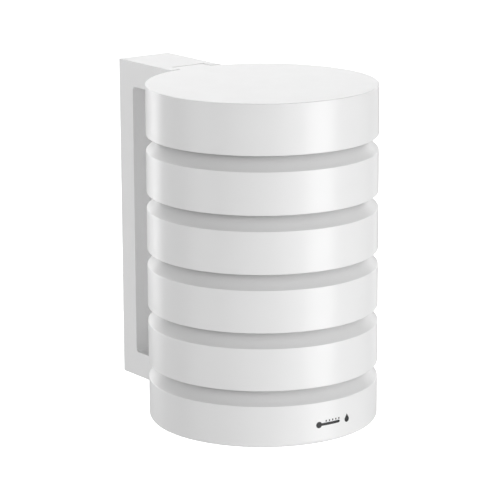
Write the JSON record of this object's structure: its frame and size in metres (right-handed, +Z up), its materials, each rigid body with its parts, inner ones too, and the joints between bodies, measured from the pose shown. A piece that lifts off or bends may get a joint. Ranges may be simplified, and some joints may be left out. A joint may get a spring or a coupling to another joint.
{
  "type": "wall-mounted louvred weather sensor shield",
  "caption": "White round louvred radiation shield with stacked rings, hung by hooks on a C-shaped wall bracket, with a pull-out base cover that carries a cylindrical sensor module.",
  "frame": {"origin": "centre of the bracket's flat wall face", "axes": "+Z up along the ring stack, +Y out of the wall face into the wall, so the shield's front looks along -Y, +X across the bracket"},
  "size_m": [0.1, 0.1395, 0.1476],
  "materials": {
    "shield_white": "smooth semi-gloss moulded UV-resistant plastic",
    "bracket_white": "fine satin moulded plastic",
    "inner_grey": "satin moulded plastic",
    "rubber_black": "matt elastomer",
    "board_green": "solder-resist lacquer",
    "chip_black": "matt moulding compound",
    "filter_white": "porous membrane",
    "lamp_green": "translucent lens",
    "cell_blue": "printed metal sleeve",
    "shell_aluminium": "brushed anodised",
    "steel": "zinc plated"
  },
  "bodies": {
    "bracket": {"wall_bracket": "bracket_white", "wall_plate": "bracket_white", "plate_screw_1": "steel", "plate_screw_2": "steel"},
    "shield": {"top_cap": "shield_white", "louvre_1": "shield_white", "louvre_2": "shield_white", "louvre_3": "shield_white", "louvre_4": "shield_white", "base_ring": "shield_white", "tie_screw_1": "steel", "tie_screw_2": "steel", "tie_screw_3": "steel"},
    "sensor_tray": {"base_cover": "shield_white", "module_seat_pad": "rubber_black", "module_shell": "shell_aluminium", "module_head_cap": "inner_grey", "module_foot_cap": "inner_grey", "module_seal": "rubber_black", "module_screw_1": "steel", "module_screw_2": "steel", "module_chassis": "inner_grey", "status_lamp": "lamp_green", "battery_1": "cell_blue", "battery_2": "cell_blue", "battery_spring_1": "steel", "battery_spring_2": "steel", "battery_bridge": "steel", "circuit_board": "board_green", "radio_can": "steel", "controller_chip": "chip_black", "pressure_sensor": "steel", "humidity_sensor": "chip_black", "sensor_filter": "filter_white"}
  },
  "joints": [
    {"name": "shield_lift", "type": "slide", "parent": "bracket", "child": "shield", "axis": [0, 0, 1], "range_m": [0, 0.009]},
    {"name": "base_pull", "type": "slide", "parent": "shield", "child": "sensor_tray", "axis": [0, 0, 1], "range_m": [-0.13, 0]}
  ]
}
